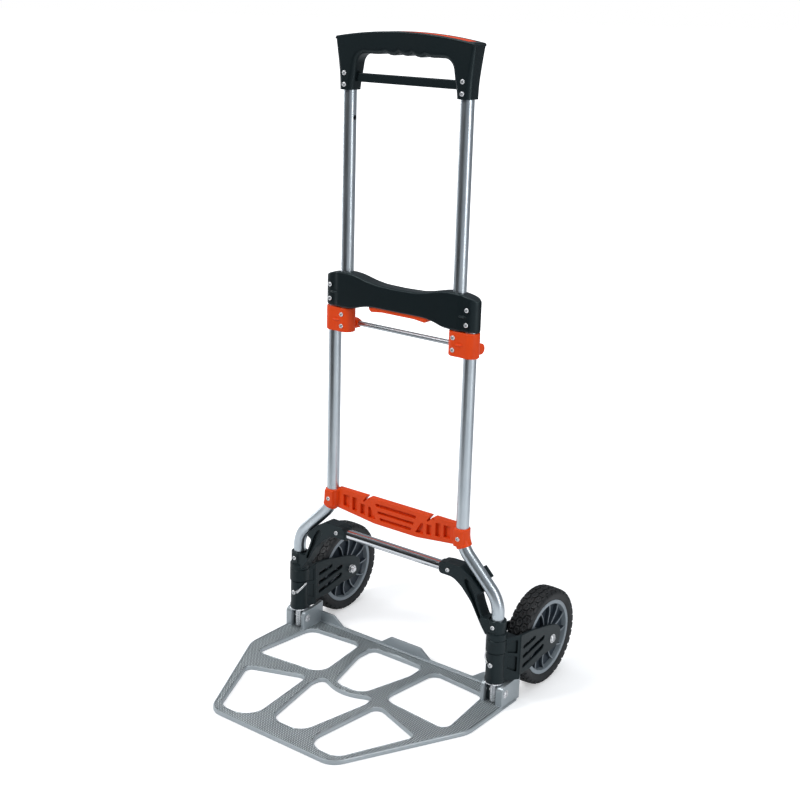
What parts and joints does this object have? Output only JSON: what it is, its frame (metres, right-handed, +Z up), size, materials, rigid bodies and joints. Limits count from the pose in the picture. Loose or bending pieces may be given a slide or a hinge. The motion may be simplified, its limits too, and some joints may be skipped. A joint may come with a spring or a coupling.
{
  "type": "folding luggage cart",
  "caption": "Folding hand cart with a telescoping tube frame, a hinged toe plate and swing-out wheels that fold flat with it.",
  "frame": {"origin": "on the floor under the toe plate, midway between the two legs, in the plane of the frame tubes", "axes": "+X to the right as seen from the toe plate side, +Y back towards the wheels, +Z up along the frame tubes"},
  "size_m": [0.5206, 0.5455, 1.1125],
  "materials": {
    "satin_aluminium": "satin drawn and anodised tube",
    "bright_chrome": "polished plating",
    "black_moulding": "fine-grained moulded nylon",
    "orange_moulding": "smooth moulded nylon",
    "plate_aluminium": "cast, hammered top with smooth rims",
    "wheel_grey": "smooth moulded plastic",
    "tyre_rubber": "knobbed tread, matt sidewall",
    "zinc_steel": "zinc plated",
    "spring_steel": "bright drawn wire"
  },
  "bodies": {
    "frame": {"left_lower_tube": "satin_aluminium", "right_lower_tube": "satin_aluminium", "left_leg_pin": "bright_chrome", "right_leg_pin": "bright_chrome", "left_leg_guard": "black_moulding", "right_leg_guard": "black_moulding", "leg_washers": "zinc_steel", "left_corner_bracket": "black_moulding", "right_corner_bracket": "black_moulding", "corner_bracket_screws": "zinc_steel", "crossbar": "bright_chrome", "lower_crossmember": "orange_moulding", "crossmember_screws": "zinc_steel", "bracket_front_cover": "black_moulding", "bracket_rear_cover": "black_moulding", "bracket_screws": "zinc_steel", "left_latch_spring": "spring_steel", "right_latch_spring": "spring_steel"},
    "handle": {"left_upper_tube": "satin_aluminium", "right_upper_tube": "satin_aluminium", "handle_grip": "black_moulding", "grip_insert": "orange_moulding", "handle_crossbar": "black_moulding", "handle_screws": "zinc_steel", "left_slider_block": "orange_moulding", "right_slider_block": "orange_moulding", "slider_screws": "zinc_steel", "slider_rod": "bright_chrome"},
    "trigger": {"release_trigger": "orange_moulding"},
    "left_latch": {"left_latch_pin": "zinc_steel"},
    "right_latch": {"right_latch_pin": "zinc_steel"},
    "toe_plate_body": {"toe_plate": "plate_aluminium", "left_hinge_pin": "zinc_steel", "right_hinge_pin": "zinc_steel"},
    "left_fork_body": {"left_fork": "black_moulding", "left_fork_screw": "zinc_steel", "left_fork_link": "zinc_steel", "left_axle_bolt": "zinc_steel", "left_axle_nut": "zinc_steel", "left_axle_washers": "zinc_steel"},
    "left_wheel": {"left_rim": "wheel_grey", "left_tyre": "tyre_rubber", "left_wheel_bush": "wheel_grey"},
    "right_fork_body": {"right_fork": "black_moulding", "right_fork_screw": "zinc_steel", "right_fork_link": "zinc_steel", "right_axle_bolt": "zinc_steel", "right_axle_nut": "zinc_steel", "right_axle_washers": "zinc_steel"},
    "right_wheel": {"right_rim": "wheel_grey", "right_tyre": "tyre_rubber", "right_wheel_bush": "wheel_grey"}
  },
  "joints": [
    {"name": "toe_plate_fold", "type": "hinge", "parent": "frame", "child": "toe_plate_body", "pos_m": [0, 0, 0.029], "axis": [-1, 0, 0], "range_deg": [0, 90]},
    {"name": "left_fork_swivel", "type": "hinge", "parent": "frame", "child": "left_fork_body", "pos_m": [-0.2223, 0, 0.088], "axis": [0, 0, -1], "range_deg": [0, 90]},
    {"name": "right_fork_swivel", "type": "hinge", "parent": "frame", "child": "right_fork_body", "pos_m": [0.2223, 0, 0.088], "axis": [0, 0, 1], "range_deg": [0, 90]},
    {"name": "left_wheel_spin", "type": "hinge", "parent": "left_fork_body", "child": "left_wheel", "pos_m": [-0.2293, 0.13, 0.0875], "axis": [1, 0, 0], "continuous": true},
    {"name": "right_wheel_spin", "type": "hinge", "parent": "right_fork_body", "child": "right_wheel", "pos_m": [0.2293, 0.13, 0.0875], "axis": [1, 0, 0], "continuous": true},
    {"name": "handle_slide", "type": "slide", "parent": "frame", "child": "handle", "axis": [0, 0, -1], "range_m": [0, 0.29]},
    {"name": "trigger_lift", "type": "slide", "parent": "frame", "child": "trigger", "axis": [0, 0, 1], "range_m": [0, 0.006]},
    {"name": "left_latch_draw", "type": "slide", "parent": "frame", "child": "left_latch", "axis": [1, 0, 0], "range_m": [0, 0.006], "deforming": ["left_latch_spring"]},
    {"name": "right_latch_draw", "type": "slide", "parent": "frame", "child": "right_latch", "axis": [-1, 0, 0], "range_m": [0, 0.006], "deforming": ["right_latch_spring"]}
  ],
  "couplings": [
    {"joint": "left_fork_swivel", "follows": "toe_plate_fold", "ratio": 1},
    {"joint": "right_fork_swivel", "follows": "toe_plate_fold", "ratio": 1},
    {"joint": "left_latch_draw", "follows": "trigger_lift", "ratio": 1},
    {"joint": "right_latch_draw", "follows": "trigger_lift", "ratio": 1}
  ]
}
